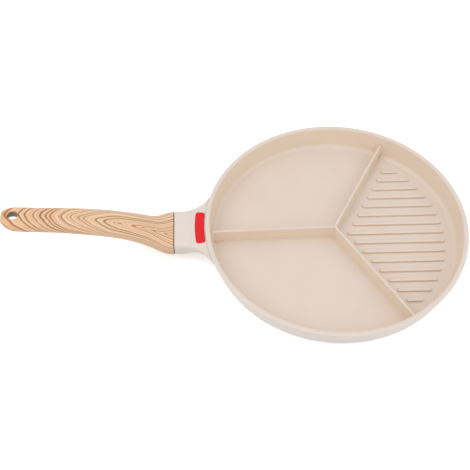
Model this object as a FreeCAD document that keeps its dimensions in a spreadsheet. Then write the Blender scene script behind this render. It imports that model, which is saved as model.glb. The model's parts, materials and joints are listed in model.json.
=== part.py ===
"""Three-section frying pan: a cast pan body, a moulded handle on its tang, and their small parts.

Millimetres, +Z up. The origin is the centre of the base, on the surface that the pan stands on.
The handle points along -X. The rim is round about the Z axis.
"""
import FreeCAD, Part
import math
import os
import Sketcher

os.makedirs("parts", exist_ok=True)
doc = FreeCAD.newDocument("FryingPan")

# Driving dimensions, in millimetres and degrees.
SIZES = {
    # Pan wall, rim and floor
    "RimRadius": 140.8,
    "PanHeight": 30.4,
    "RimWidth": 5.3,
    "RimInnerEdge": 1.1,
    "RimOuterEdge": 1.1,
    "InnerLean": 3.0,
    "OuterLean": 7.6,
    "BaseFillet": 10.0,
    "FloorHeight": 3.9,
    "WallFoot": 5.5,
    "WallFootHeight": 8.0,
    "WallFootSink": 0.04,
    # Fine turned grooves in the base
    "BaseGrooveCount": 4.0,
    "BaseGrooveFirst": 28.0,
    "BaseGrooveMargin": 27.2,
    "BaseGrooveWidth": 1.6,
    "BaseGrooveDepth": 0.5,
    # How far a cutting profile reaches past the surface that it cuts
    "CutReach": 5.0,
    # Dividers
    "SectionCount": 3.0,
    "DividerDrop": 9.3,
    "DividerWidth": 2.7,
    "DividerDraft": 1.5,
    "DividerRound": 0.9,
    "DividerFoot": 1.2,
    "CornerRadius": 2.8,
    "CornerTopRadius": 2.0,
    # Grill bars in the right-hand section
    "BarCount": 15.0,
    "BarSpread": 0.658,
    "BarShift": 1.6,
    "BarTurn": -1.4,
    "BarWidth": 3.6,
    "BarHeight": 2.1,
    "BarRound": 0.8,
    "BarDividerGap": 12.9,
    "BarWallGap": 12.2,
    # Neck
    "NeckReach": 32.5,
    "NeckWidth": 48.5,
    "NeckTopDrop": 0.3,
    "NeckThickness": 18.0,
    "StepLength": 4.2,
    "StepDrop": 1.2,
    # Tang on the neck, inside the handle
    "TangLength": 20.0,
    "TangWidth": 26.0,
    "TangHeight": 8.0,
    "TangRound": 2.0,
    "TangClearance": 0.2,
    # Seal ring at the joint
    "GasketThickness": 1.0,
    "GasketInset": 0.7,
    # Heat indicator strip
    "StripRimGap": 0.7,
    "StripStepGap": 2.6,
    "StripWidth": 9.8,
    "StripHalfLength": 20.4,
    "StripDepth": 1.4,
    "StripProud": 0.6,
    "StripCorner": 3.0,
    "StripEdge": 0.45,
    "StripClearance": 0.15,
    # Screw
    "ScrewSetback": 11.2,
    "ScrewRadius": 2.5,
    "ScrewClearance": 0.05,
    "ScrewHeadRadius": 4.7,
    "ScrewHeadHeight": 2.6,
    "ScrewSunk": 0.5,
    "ScrewHoleRadius": 2.8,
    "ScrewTipGap": 0.6,
    "CrossWidth": 1.1,
    "CrossLength": 4.6,
    "CrossDepth": 1.5,
    # Hanging hole
    "HangRadius": 4.9,
    "HangSetback": 12.3,
    "HangEdge": 1.6,
    "HangUnderEdge": 3.2,
}

# Neck stations: name, distance outside the rim's radius, extra half width, height of the underside
# above the block's underside, radius of the lower corners, radius of the upper corners.
NECK_STATIONS = [
    ("NeckEnd", 22.2, 0.0, 0.0, 5.5, 4.0),
    ("NeckRise", 16.7, 0.8, 2.1, 5.5, 4.0),
    ("NeckArch", 9.7, 3.3, 6.8, 5.0, 3.6),
    ("NeckWaist", 3.2, 7.2, 9.0, 4.8, 3.2),
    ("NeckFlare", -2.3, 12.6, 9.3, 4.8, 3.0),
    ("NeckWall", -6.8, 18.8, 9.3, 4.8, 3.0),
    ("NeckInside", -11.3, 24.2, 9.3, 4.8, 3.0),
]
NECK_STATION_SIZES = ("Reach", "Flare", "Rise", "Round", "TopRound")

# Handle stations: name, distance behind the joint face, width as a share of the neck's, thickness,
# height of the middle above the middle of the joint face, radius of the upper corners, radius of the
# lower corners. The tail is domed above and flatter below.
HANDLE_STATIONS = [
    ("Face", 0.0, 0.99, 17.6, 0.0, 3.6, 3.6),
    ("Collar", 5.0, 0.973, 17.9, 0.1, 4.6, 4.6),
    ("Throat", 10.5, 0.928, 18.8, 0.3, 6.2, 6.2),
    ("Taper", 18.0, 0.802, 20.6, 1.8, 8.0, 8.0),
    ("Waist", 28.0, 0.718, 21.4, 6.9, 9.2, 9.2),
    ("Climb", 44.0, 0.656, 21.2, 14.4, 9.4, 9.4),
    ("Shoulder", 62.0, 0.623, 20.6, 20.5, 9.2, 9.2),
    ("Palm", 88.0, 0.602, 19.8, 26.4, 9.0, 9.0),
    ("Grip", 115.0, 0.577, 18.0, 30.7, 8.3, 8.1),
    ("Heel", 140.0, 0.585, 14.0, 33.9, 7.6, 5.4),
    ("Tail", 158.0, 0.592, 12.5, 36.6, 7.5, 4.0),
    ("Bend", 167.3, 0.548, 10.9, 38.2, 7.0, 3.3),
    ("Curl", 172.3, 0.445, 8.8, 39.5, 5.6, 2.7),
    ("Tip", 176.2, 0.25, 5.0, 40.6, 2.7, 1.9),
]
HANDLE_STATION_SIZES = ("Back", "Share", "Thickness", "Lift", "Round", "Under")

sheet = doc.addObject("Spreadsheet::Sheet", "Sizes")


def fill_sheet():
    rows = list(SIZES.items())
    for stations, sizes in ((NECK_STATIONS, NECK_STATION_SIZES), (HANDLE_STATIONS, HANDLE_STATION_SIZES)):
        for name, *values in stations:
            rows += [(name + size, value) for size, value in zip(sizes, values)]
    for row, (alias, value) in enumerate(rows, start=1):
        sheet.set("A%d" % row, alias)
        sheet.set("B%d" % row, str(value))
        sheet.setAlias("B%d" % row, alias)
    doc.recompute()


def number(expression):
    """The present value of an expression in the sheet's sizes."""
    value = sheet.evalExpression(expression)
    return float(getattr(value, "Value", value))


fill_sheet()

# Expressions that more than one feature uses.
RIM = "Sizes.PanHeight"
FLOOR = "Sizes.FloorHeight"
ABOVE_RIM = "(Sizes.PanHeight + Sizes.RimWidth)"
RIM_INNER = "(Sizes.RimRadius - Sizes.RimWidth)"
RIM_MIDDLE = "(Sizes.RimRadius - Sizes.RimWidth / 2)"
LEDGE = "(Sizes.PanHeight - Sizes.DividerDrop - Sizes.DividerRound)"
DIVIDER_TOP = "(Sizes.PanHeight - Sizes.DividerDrop)"
INNER_FOOT = "(%s - Sizes.InnerLean)" % RIM_INNER
OUTER_FOOT = "(Sizes.RimRadius - Sizes.OuterLean)"
WALL_SLOPE = "(Sizes.InnerLean / (Sizes.PanHeight - Sizes.FloorHeight))"
LEDGE_RADIUS = "(%s + %s * (%s - Sizes.FloorHeight))" % (INNER_FOOT, WALL_SLOPE, LEDGE)
HALF_DIVIDER = "(Sizes.DividerWidth / 2)"
POCKET_DRAFT = "((%s - Sizes.FloorHeight) * tan(Sizes.DividerDraft))" % LEDGE
SECTION_ANGLE = "(360 / Sizes.SectionCount)"
NECK_LENGTH = "(Sizes.RimRadius + Sizes.NeckReach)"
NECK_TOP = "(Sizes.PanHeight - Sizes.NeckTopDrop)"
NECK_MIDDLE = "(Sizes.PanHeight - Sizes.NeckTopDrop - Sizes.NeckThickness / 2)"
NECK_BOTTOM = "(Sizes.PanHeight - Sizes.NeckTopDrop - Sizes.NeckThickness)"
SHELF = "(Sizes.PanHeight - Sizes.NeckTopDrop - Sizes.StepDrop)"
HALF_NECK = "(Sizes.NeckWidth / 2)"
STRIP_INNER = "(Sizes.RimRadius + Sizes.StripRimGap)"
STRIP_OUTER = "(%s + Sizes.StripWidth)" % STRIP_INNER
STRIP_ANGLE = "asin(Sizes.StripHalfLength / (%s - Sizes.StripWidth / 2))" % STRIP_OUTER
STRIP_BOTTOM = "(%s - Sizes.StripDepth)" % SHELF
FACE_X = "(%s + Sizes.GasketThickness)" % NECK_LENGTH
SCREW_X = "(%s + Sizes.ScrewSetback)" % FACE_X
TIP_X = "(%s + Sizes.TipBack)" % FACE_X
SCREW_HEAD_BOTTOM = "(%s - Sizes.ThroatThickness / 2 + Sizes.ThroatLift + Sizes.ScrewSunk)" % NECK_MIDDLE


def new_body(label):
    body = doc.addObject("PartDesign::Body", label)
    body.Label = label
    body.Placement = FreeCAD.Placement()
    return body


def origin_plane(body, role):
    return next(f for f in body.Origin.OriginFeatures if f.Role == role)


def new_sketch(body, name, role, offset=None, turn=None):
    """A sketch on one of the body's own planes, moved along its normal by an expression."""
    sketch = body.newObject("Sketcher::SketchObject", name)
    sketch.AttachmentSupport = (origin_plane(body, role), [""])
    sketch.MapMode = "FlatFace"
    if offset is not None:
        sketch.setExpression("AttachmentOffset.Base.z", offset)
    if turn is not None:
        sketch.setExpression("AttachmentOffset.Rotation.Angle", turn)
    return sketch


def bind(sketch, constraint, expression):
    index = sketch.addConstraint(constraint)
    sketch.setExpression("Constraints[%d]" % index, expression)


def point_at(sketch, x, y):
    """A construction point held at two expressions."""
    px, py = number(x), number(y)
    point = sketch.addGeometry(Part.Point(FreeCAD.Vector(px, py, 0)), True)
    for kind, value, expression, other in (("DistanceX", px, x, -2), ("DistanceY", py, y, -1)):
        if abs(value) < 1e-9:
            sketch.addConstraint(Sketcher.Constraint("PointOnObject", point, 1, other))
        else:
            bind(sketch, Sketcher.Constraint(kind, -1, 1, point, 1, value), expression)
    return point


def tangent_points(before, corner, after, radius):
    """Where an arc of this radius touches the two sides of a corner, and its centre."""
    back = (before - corner).normalize()
    ahead = (after - corner).normalize()
    half = back.getAngle(ahead) / 2
    reach = radius / math.tan(half)
    centre = corner + (back + ahead).normalize() * (radius / math.sin(half))
    return corner + back * reach, corner + ahead * reach, centre


def arc_between(start, end, centre):
    """The shorter arc about centre from start to end, and whether it runs anticlockwise."""
    first, last = start - centre, end - centre
    anticlockwise = first.cross(last).z > 0
    if not anticlockwise:
        first, last = last, first
    circle = Part.Circle(centre, FreeCAD.Vector(0, 0, 1), first.Length)
    return Part.ArcOfCircle(circle, math.atan2(first.y, first.x), math.atan2(last.y, last.x)), anticlockwise


def outline(sketch, corners):
    """A closed outline of straight sides. Each corner is (x, y) or (x, y, radius) in expressions."""
    spots = [FreeCAD.Vector(number(c[0]), number(c[1]), 0) for c in corners]
    rounds = [number(c[2]) if len(c) > 2 else 0 for c in corners]
    count = len(corners)
    points = [point_at(sketch, c[0], c[1]) for c in corners]
    arcs, leaving, arriving = {}, list(spots), list(spots)
    for i in range(count):
        if rounds[i]:
            start, end, centre = tangent_points(spots[i - 1], spots[i], spots[(i + 1) % count], rounds[i])
            arriving[i], leaving[i] = start, end
            arc, forward = arc_between(start, end, centre)
            index = sketch.addGeometry(arc, False)
            arcs[i] = (index, 1 if forward else 2, 2 if forward else 1)
    sides = []
    for i in range(count):
        j = (i + 1) % count
        sides.append(sketch.addGeometry(Part.LineSegment(leaving[i], arriving[j]), False))
    for i in range(count):
        before, after = sides[i - 1], sides[i]
        if i in arcs:
            index, first, last = arcs[i]
            sketch.addConstraint(Sketcher.Constraint("Tangent", before, 2, index, first))
            sketch.addConstraint(Sketcher.Constraint("Tangent", index, last, after, 1))
            sketch.addConstraint(Sketcher.Constraint("PointOnObject", points[i], 1, before))
            sketch.addConstraint(Sketcher.Constraint("PointOnObject", points[i], 1, after))
            bind(sketch, Sketcher.Constraint("Radius", index, rounds[i]), corners[i][2])
        else:
            sketch.addConstraint(Sketcher.Constraint("Coincident", before, 2, points[i], 1))
            sketch.addConstraint(Sketcher.Constraint("Coincident", after, 1, points[i], 1))


def box_section(sketch, half_width, bottom, top, upper_round, lower_round):
    """A cross-section square to X: a box with rounded corners, even about the middle."""
    outline(sketch, [("-(%s)" % half_width, bottom, lower_round), (half_width, bottom, lower_round),
                     (half_width, top, upper_round), ("-(%s)" % half_width, top, upper_round)])


def slot(sketch, left, right, middle, radius):
    """A bar's outline with round ends: the end centres' x, the middle line's y and the end radius."""
    x0, x1, y, r = number(left), number(right), number(middle), number(radius)
    up = FreeCAD.Vector(0, 0, 1)
    ends = []
    for x, angle in ((x0, math.pi / 2), (x1, -math.pi / 2)):
        circle = Part.Circle(FreeCAD.Vector(x, y, 0), up, r)
        ends.append(sketch.addGeometry(Part.ArcOfCircle(circle, angle, angle + math.pi), False))
    lower = sketch.addGeometry(Part.LineSegment(FreeCAD.Vector(x0, y - r, 0), FreeCAD.Vector(x1, y - r, 0)), False)
    upper = sketch.addGeometry(Part.LineSegment(FreeCAD.Vector(x1, y + r, 0), FreeCAD.Vector(x0, y + r, 0)), False)
    sketch.addConstraint([
        Sketcher.Constraint("Tangent", ends[0], 2, lower, 1),
        Sketcher.Constraint("Tangent", lower, 2, ends[1], 1),
        Sketcher.Constraint("Tangent", ends[1], 2, upper, 1),
        Sketcher.Constraint("Tangent", upper, 2, ends[0], 1),
        Sketcher.Constraint("Horizontal", lower),
    ])
    bind(sketch, Sketcher.Constraint("Radius", ends[0], r), radius)
    bind(sketch, Sketcher.Constraint("DistanceX", -1, 1, ends[0], 3, x0), left)
    bind(sketch, Sketcher.Constraint("DistanceX", -1, 1, ends[1], 3, x1), right)
    bind(sketch, Sketcher.Constraint("DistanceY", -1, 1, ends[0], 3, y), middle)


def sector(sketch, radius, side, corner):
    """One section's plan: two straight sides, an arc by the wall, and three round corners.

    side is the distance of a straight side from its divider's middle line.
    """
    wall, away, r = number(radius), number(side), number(corner)
    half = math.radians(number(SECTION_ANGLE) / 2)
    along = FreeCAD.Vector(math.cos(half), math.sin(half), 0)
    inward = FreeCAD.Vector(math.sin(half), -math.cos(half), 0)

    def flip(v):
        return FreeCAD.Vector(v.x, -v.y, 0)

    near_centre = FreeCAD.Vector((away + r) / math.sin(half), 0, 0)
    near_touch = near_centre - inward * r
    far_centre = along * math.sqrt((wall - r) ** 2 - (away + r) ** 2) + inward * (away + r)
    far_touch = far_centre - inward * r
    wall_touch = far_centre * (wall / (wall - r))
    zero = FreeCAD.Vector()
    pieces = [
        Part.LineSegment(near_touch, far_touch),
        arc_between(far_touch, wall_touch, far_centre)[0],
        arc_between(flip(wall_touch), wall_touch, zero)[0],
        arc_between(flip(wall_touch), flip(far_touch), flip(far_centre))[0],
        Part.LineSegment(flip(far_touch), flip(near_touch)),
        arc_between(near_touch, flip(near_touch), near_centre)[0],
    ]
    upper, upper_corner, arc, lower_corner, lower, near = [sketch.addGeometry(p, False) for p in pieces]
    sketch.addConstraint([
        Sketcher.Constraint("Tangent", upper, 2, upper_corner, 2),
        Sketcher.Constraint("Tangent", upper_corner, 1, arc, 2),
        Sketcher.Constraint("Tangent", arc, 1, lower_corner, 2),
        Sketcher.Constraint("Tangent", lower_corner, 1, lower, 1),
        Sketcher.Constraint("Tangent", lower, 2, near, 2),
        Sketcher.Constraint("Tangent", near, 1, upper, 1),
        Sketcher.Constraint("Coincident", arc, 3, -1, 1),
    ])
    bind(sketch, Sketcher.Constraint("Radius", arc, wall), radius)
    for corner_arc in (upper_corner, lower_corner, near):
        bind(sketch, Sketcher.Constraint("Radius", corner_arc, r), corner)
    for line, sign in ((upper, 1), (lower, -1)):
        bind(sketch, Sketcher.Constraint("Distance", -1, 1, line, away), side)
        angle = Sketcher.Constraint("Angle", line, half if sign > 0 else math.pi - half)
        bind(sketch, angle, "%s / 2" % SECTION_ANGLE if sign > 0 else "180 - %s / 2" % SECTION_ANGLE)


def arc_strip(sketch, inner, outer, half_angle):
    """A curved strip about the pan's middle, centred on the -X axis."""
    spread = math.radians(number(half_angle))
    first, last = math.pi - spread, math.pi + spread
    arcs = []
    for expression in (inner, outer):
        radius = number(expression)
        circle = Part.Circle(FreeCAD.Vector(), FreeCAD.Vector(0, 0, 1), radius)
        arc = sketch.addGeometry(Part.ArcOfCircle(circle, first, last), False)
        sketch.addConstraint(Sketcher.Constraint("Coincident", arc, 3, -1, 1))
        bind(sketch, Sketcher.Constraint("Radius", arc, radius), expression)
        height = radius * math.sin(spread)
        for point, sign in ((1, 1), (2, -1)):
            bind(sketch, Sketcher.Constraint("DistanceY", -1, 1, arc, point, sign * height),
                 "%d * (%s) * sin(%s)" % (sign, expression, half_angle))
        arcs.append((arc, radius))
    for point, angle in ((1, first), (2, last)):
        ray = FreeCAD.Vector(math.cos(angle), math.sin(angle), 0)
        line = sketch.addGeometry(Part.LineSegment(ray * arcs[0][1], ray * arcs[1][1]), False)
        sketch.addConstraint(Sketcher.Constraint("Coincident", line, 1, arcs[0][0], point))
        sketch.addConstraint(Sketcher.Constraint("Coincident", line, 2, arcs[1][0], point))


def feature(body, kind, name, **values):
    """A feature of the body. Text values are bound as expressions, the rest are set."""
    item = body.newObject("PartDesign::" + kind, name)
    for key, value in values.items():
        if isinstance(value, str):
            item.setExpression(key, value)
        else:
            setattr(item, key, value)
    return item


def pad(body, name, sketch, length, **values):
    return feature(body, "Pad", name, Profile=sketch, Length=length, **values)


def turned(body, kind, name, sketch):
    """A profile in the XZ plane turned all round the pan's axis, added or cut away."""
    item = feature(body, kind, name, Profile=sketch, Angle=360.0)
    item.ReferenceAxis = (sketch, ["V_Axis"])
    return item


def around(body, name, original):
    """The feature repeated once for each section, about the pan's axis."""
    item = body.newObject("PartDesign::PolarPattern", name)
    item.Originals = [original]
    item.Axis = (origin_plane(body, "Z_Axis"), [""])
    item.Angle = 360.0
    item.setExpression("Occurrences", "Sizes.SectionCount")
    body.Tip = item
    return item


def fillet(body, name, base, radius, chosen):
    """A fillet on the edges of the base feature that the test picks."""
    doc.recompute()
    names = ["Edge%d" % (i + 1) for i, edge in enumerate(base.Shape.Edges) if chosen(edge)]
    return feature(body, "Fillet", name, Base=(base, names), Radius=radius)


def lies_at(edge, height, slack=0.01):
    return abs(edge.BoundBox.ZMin - height) < slack and abs(edge.BoundBox.ZMax - height) < slack


def stands_upright(edge):
    box = edge.BoundBox
    return box.XLength < 0.05 and box.YLength < 0.05 and box.ZLength > 0.2


def add_neck(body):
    """The neck: a block at the joint, a thin root that flares into the wall, and a step between."""
    face = new_sketch(body, "NeckFace", "YZ_Plane", "-%s" % NECK_LENGTH)
    box_section(face, HALF_NECK, NECK_BOTTOM, NECK_TOP, "Sizes.NeckEndTopRound", "Sizes.NeckEndRound")
    pad(body, "NeckBlock", face, "Sizes.NeckReach - Sizes.NeckEndReach")
    sections = []
    for name, *_ in NECK_STATIONS:
        sketch = new_sketch(body, name + "Section", "YZ_Plane", "-(Sizes.RimRadius + Sizes.%sReach)" % name)
        box_section(sketch, "%s + Sizes.%sFlare" % (HALF_NECK, name), "%s + Sizes.%sRise" % (NECK_BOTTOM, name),
                    NECK_TOP, "Sizes.%sTopRound" % name, "Sizes.%sRound" % name)
        sections.append(sketch)
    feature(body, "AdditiveLoft", "NeckRoot", Profile=sections[0], Sections=sections[1:])
    step = new_sketch(body, "StepProfile", "XZ_Plane")
    edge = "-(%s + Sizes.StripStepGap + Sizes.StepLength)" % STRIP_OUTER
    outline(step, [
        (edge, NECK_TOP),
        ("%s + Sizes.StepLength" % edge, SHELF),
        ("-" + INNER_FOOT, SHELF),
        ("-" + INNER_FOOT, ABOVE_RIM),
        (edge, ABOVE_RIM),
    ])
    return feature(body, "Pocket", "NeckStep", Profile=step, Midplane=True, Length="2 * Sizes.NeckWidth")


def add_bowl(body):
    """The turned outside, the hollow above the dividers, and one pocket for each section."""
    outside = new_sketch(body, "OutsideProfile", "XZ_Plane")
    outline(outside, [
        ("0", "0"),
        (OUTER_FOOT, "0", "Sizes.BaseFillet"),
        ("Sizes.RimRadius", RIM, "Sizes.RimOuterEdge"),
        ("0", RIM),
    ])
    turned(body, "Revolution", "Outside", outside)
    hollow = new_sketch(body, "HollowProfile", "XZ_Plane")
    outline(hollow, [
        ("0", LEDGE),
        (LEDGE_RADIUS, LEDGE),
        (RIM_INNER, RIM, "Sizes.RimInnerEdge"),
        (RIM_MIDDLE, RIM),
        (RIM_MIDDLE, ABOVE_RIM),
        ("0", ABOVE_RIM),
    ])
    turned(body, "Groove", "Hollow", hollow)
    floor_plan = new_sketch(body, "SectionFloor", "XY_Plane", FLOOR)
    sector(floor_plan, INNER_FOOT, "%s + %s" % (HALF_DIVIDER, POCKET_DRAFT), "Sizes.CornerRadius")
    ledge_plan = new_sketch(body, "SectionLedge", "XY_Plane", LEDGE)
    sector(ledge_plan, LEDGE_RADIUS, HALF_DIVIDER, "Sizes.CornerTopRadius")
    pocket = feature(body, "SubtractiveLoft", "SectionPocket", Profile=floor_plan, Sections=[ledge_plan],
                     Ruled=True)
    return around(body, "SectionPockets", pocket)


def add_wall_foot(body):
    """The hollow curve between floor and wall, turned all round the pan and running into the dividers.

    It is sunk a little into floor and wall, so that its surface leaves theirs along clean lines.
    """
    profile = new_sketch(body, "WallFootProfile", "XZ_Plane")
    sink = "Sizes.WallFootSink"
    wall = "(%s + %s)" % (INNER_FOOT, sink)
    start = "(%s - 2 * Sizes.WallFoot)" % INNER_FOOT
    under = "(%s - Sizes.FloorHeight / 4)" % FLOOR
    top = "(%s + Sizes.WallFootHeight)" % FLOOR
    outline(profile, [
        (start, under),
        (start, "%s - %s" % (FLOOR, sink)),
        ("%s - %s * %s" % (wall, WALL_SLOPE, sink), "%s - %s" % (FLOOR, sink), "Sizes.WallFoot"),
        ("%s + %s * Sizes.WallFootHeight" % (wall, WALL_SLOPE), top),
        ("%s + Sizes.RimWidth / 3" % wall, top),
        ("%s + Sizes.RimWidth / 3" % wall, "%s + Sizes.WallFoot" % FLOOR),
        (wall, under),
    ])
    return turned(body, "Revolution", "WallFootRing", profile)


def add_divider_caps(body):
    """The rounded top of each divider, from the middle of the pan into the wall."""
    section = new_sketch(body, "CapSection", "YZ_Plane")
    seat = "(%s - Sizes.DividerRound)" % LEDGE
    outline(section, [
        ("-%s" % HALF_DIVIDER, seat),
        (HALF_DIVIDER, seat),
        (HALF_DIVIDER, DIVIDER_TOP, "Sizes.DividerRound"),
        ("-%s" % HALF_DIVIDER, DIVIDER_TOP, "Sizes.DividerRound"),
    ])
    cap = pad(body, "DividerCap", section, "%s + Sizes.RimWidth / 3" % LEDGE_RADIUS, Reversed=True)
    return around(body, "DividerCaps", cap)


def add_grill_bars(body):
    """Parallel bars on the floor of the right-hand section, each cut short by divider and wall."""
    plan = new_sketch(body, "BarPlan", "XY_Plane", FLOOR, "Sizes.BarTurn")
    end = "(Sizes.BarWidth / 2)"
    half = "(%s / 2)" % SECTION_ANGLE
    spread = "Sizes.BarSpread * " + INNER_FOOT
    count = int(number("Sizes.BarCount"))
    for i in range(count):
        y = "(%s * (2 * %d / (Sizes.BarCount - 1) - 1) + Sizes.BarShift)" % (spread, i)
        above = number(y) > 0
        lean = "(%s %s Sizes.BarTurn)" % (half, "-" if above else "+")
        rise = y if above else "(-%s)" % y
        left = "((Sizes.BarDividerGap + %s) / sin(%s) + %s / tan(%s))" % (end, lean, rise, lean)
        right = "(sqrt((%s - Sizes.BarWallGap) ^ 2 - %s ^ 2) - %s)" % (INNER_FOOT, y, end)
        slot(plan, left, right, y, end)
    return pad(body, "GrillBars", plan, "Sizes.BarHeight")


def add_tang(body):
    """The tang that carries the handle, with its upright screw hole."""
    section = new_sketch(body, "TangSection", "YZ_Plane", "-%s" % NECK_LENGTH)
    half = "Sizes.TangHeight / 2"
    box_section(section, "Sizes.TangWidth / 2", "%s - %s" % (NECK_MIDDLE, half), "%s + %s" % (NECK_MIDDLE, half),
                "Sizes.TangRound", "Sizes.TangRound")
    pad(body, "Tang", section, "Sizes.GasketThickness + Sizes.TangLength", Reversed=True)
    hole = new_sketch(body, "TangHolePlan", "XY_Plane", NECK_MIDDLE)
    circle_at(hole, "-%s" % SCREW_X, "Sizes.ScrewRadius + Sizes.ScrewClearance")
    return feature(body, "Pocket", "TangHole", Profile=hole, Midplane=True, Length="2 * Sizes.TangHeight")


def circle_at(sketch, x, radius):
    centre = point_at(sketch, x, "0")
    circle = Part.Circle(FreeCAD.Vector(number(x), 0, 0), FreeCAD.Vector(0, 0, 1), number(radius))
    index = sketch.addGeometry(circle, False)
    sketch.addConstraint(Sketcher.Constraint("Coincident", index, 3, centre, 1))
    bind(sketch, Sketcher.Constraint("Radius", index, number(radius)), radius)


def make_pan_body():
    body = new_body("pan_body")
    add_neck(body)
    add_bowl(body)
    caps = add_divider_caps(body)
    floor_height = number(FLOOR)
    fillet(body, "DividerFeet", caps, "Sizes.DividerFoot", lambda e: lies_at(e, floor_height))
    add_wall_foot(body)
    bars = add_grill_bars(body)
    bar_top = number("Sizes.FloorHeight + Sizes.BarHeight")
    fillet(body, "BarFillets", bars, "Sizes.BarRound", lambda e: lies_at(e, bar_top))
    recess = new_sketch(body, "StripRecessPlan", "XY_Plane", SHELF)
    gap = "Sizes.StripClearance"
    arc_strip(recess, "%s - %s" % (STRIP_INNER, gap), "%s + %s" % (STRIP_OUTER, gap),
              "(%s + asin(%s / %s))" % (STRIP_ANGLE, gap, STRIP_INNER))
    cut = feature(body, "Pocket", "StripRecess", Profile=recess, Length="Sizes.StripDepth")
    low, high = number(STRIP_BOTTOM), number(SHELF)

    def recess_corner(edge):
        box = edge.BoundBox
        return stands_upright(edge) and abs(box.ZMin - low) < 0.01 and abs(box.ZMax - high) < 0.01

    fillet(body, "StripRecessCorners", cut, "Sizes.StripCorner + Sizes.StripClearance", recess_corner)
    add_tang(body)
    rings = new_sketch(body, "BaseGrooveProfile", "XZ_Plane")
    pitch = "(%s - Sizes.BaseGrooveMargin - Sizes.BaseGrooveFirst) / (Sizes.BaseGrooveCount - 1)" % OUTER_FOOT
    for i in range(int(number("Sizes.BaseGrooveCount"))):
        inner = "(Sizes.BaseGrooveFirst + %d * %s)" % (i, pitch)
        outer = "(%s + Sizes.BaseGrooveWidth)" % inner
        outline(rings, [(inner, "-Sizes.CutReach"), (outer, "-Sizes.CutReach"), (outer, "Sizes.BaseGrooveDepth"),
                        (inner, "Sizes.BaseGrooveDepth")])
    turned(body, "Groove", "BaseGrooves", rings)


def make_heat_indicator():
    body = new_body("heat_indicator")
    plan = new_sketch(body, "StripPlan", "XY_Plane", STRIP_BOTTOM)
    arc_strip(plan, STRIP_INNER, STRIP_OUTER, STRIP_ANGLE)
    strip = pad(body, "Strip", plan, "Sizes.StripDepth + Sizes.StripProud")
    corners = fillet(body, "StripCorners", strip, "Sizes.StripCorner", stands_upright)
    top = number("%s + Sizes.StripProud" % SHELF)
    fillet(body, "StripEdges", corners, "Sizes.StripEdge", lambda e: lies_at(e, top))


def make_handle_gasket():
    body = new_body("handle_gasket")
    ring = new_sketch(body, "RingSection", "YZ_Plane", "-%s" % FACE_X)
    inset = "Sizes.GasketInset"
    box_section(ring, "%s - %s" % (HALF_NECK, inset), "%s + %s" % (NECK_BOTTOM, inset), "%s - %s" % (NECK_TOP, inset),
                "Sizes.NeckEndTopRound - %s" % inset, "Sizes.NeckEndRound - %s" % inset)
    pad(body, "Ring", ring, "Sizes.GasketThickness")
    window = new_sketch(body, "RingWindow", "YZ_Plane", "-%s" % FACE_X)
    socket_section(window)
    feature(body, "Pocket", "Window", Profile=window, Midplane=True, Length="4 * Sizes.GasketThickness")


def socket_section(sketch):
    """The tang's section with clearance all round."""
    half = "Sizes.TangHeight / 2 + Sizes.TangClearance"
    rounded = "Sizes.TangRound + Sizes.TangClearance"
    box_section(sketch, "Sizes.TangWidth / 2 + Sizes.TangClearance", "%s - (%s)" % (NECK_MIDDLE, half),
                "%s + %s" % (NECK_MIDDLE, half), rounded, rounded)


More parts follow.
